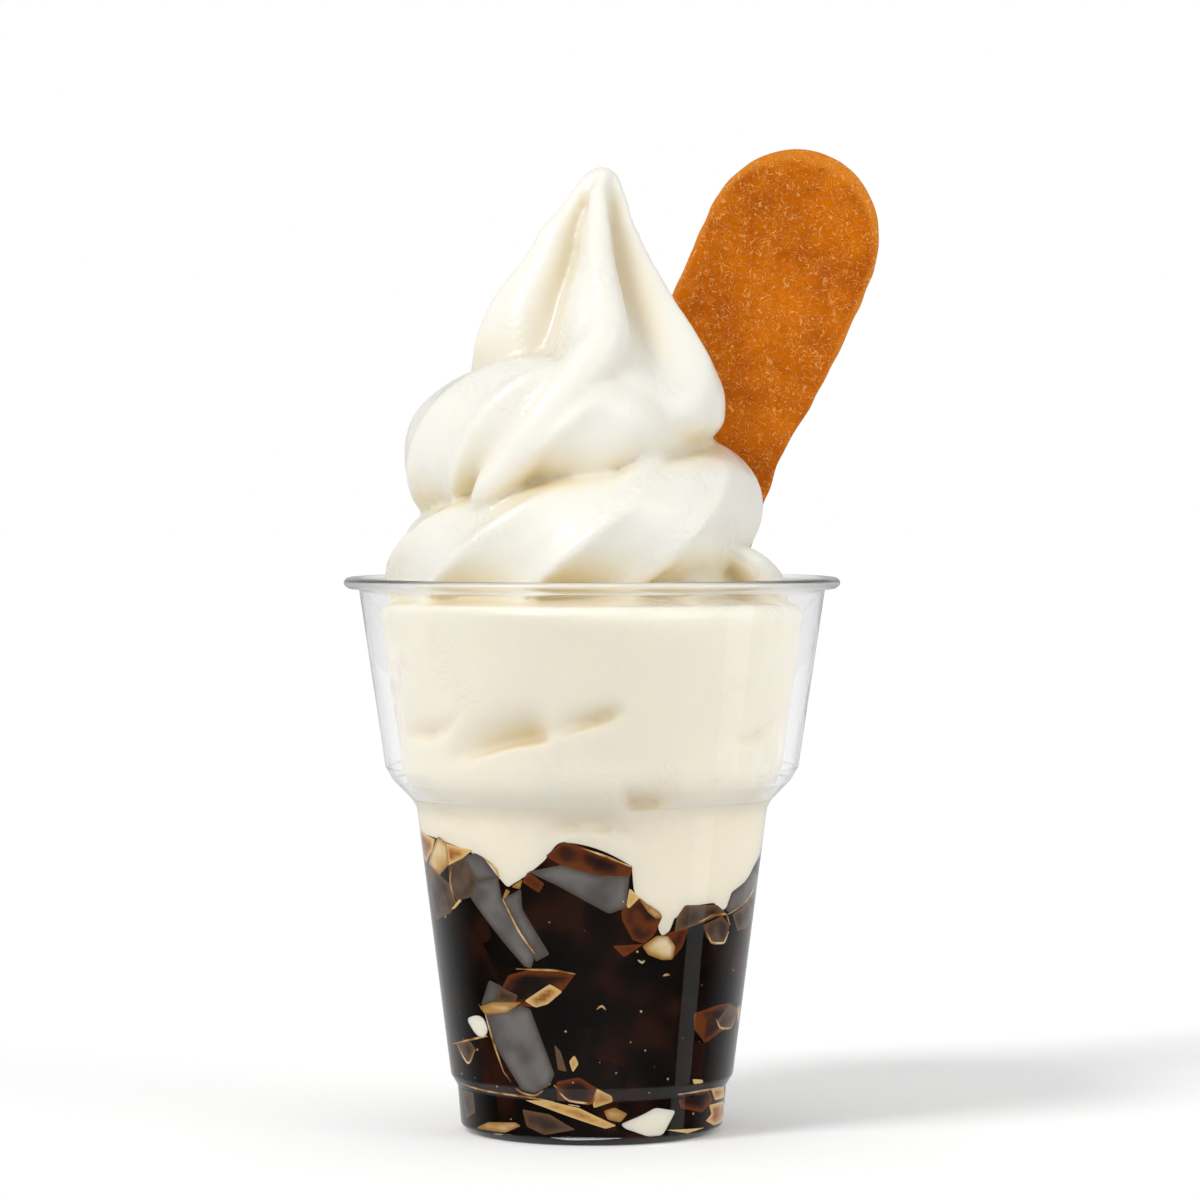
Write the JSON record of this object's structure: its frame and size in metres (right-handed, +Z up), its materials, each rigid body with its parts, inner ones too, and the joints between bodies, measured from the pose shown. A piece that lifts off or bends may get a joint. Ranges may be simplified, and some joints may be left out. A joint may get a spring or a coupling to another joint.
{
  "type": "coffee jelly soft serve",
  "caption": "Coffee jelly soft serve in a clear stepped cup: dark jelly cubes below, piped soft serve swirled above the rim, an oblong biscuit pushed in at the back.",
  "frame": {"origin": "middle of the cup's flat foot, on the surface it stands on", "axes": "+Z up along the cup's axis, -Y towards the shown side, +X to the right of the shown side, where the biscuit leans"},
  "size_m": [0.1042, 0.095, 0.1896],
  "materials": {
    "clear_plastic": "clear, glossy, thermoformed",
    "coffee_jelly": "wet, glossy, dark brown with amber edges",
    "soft_serve": "smooth, soft sheen, milky",
    "biscuit": "baked golden brown, fine glossy pores"
  },
  "bodies": {
    "root": {"cup": "clear_plastic", "coffee_jelly": "coffee_jelly", "soft_serve": "soft_serve", "biscuit": "biscuit"}
  },
  "joints": []
}
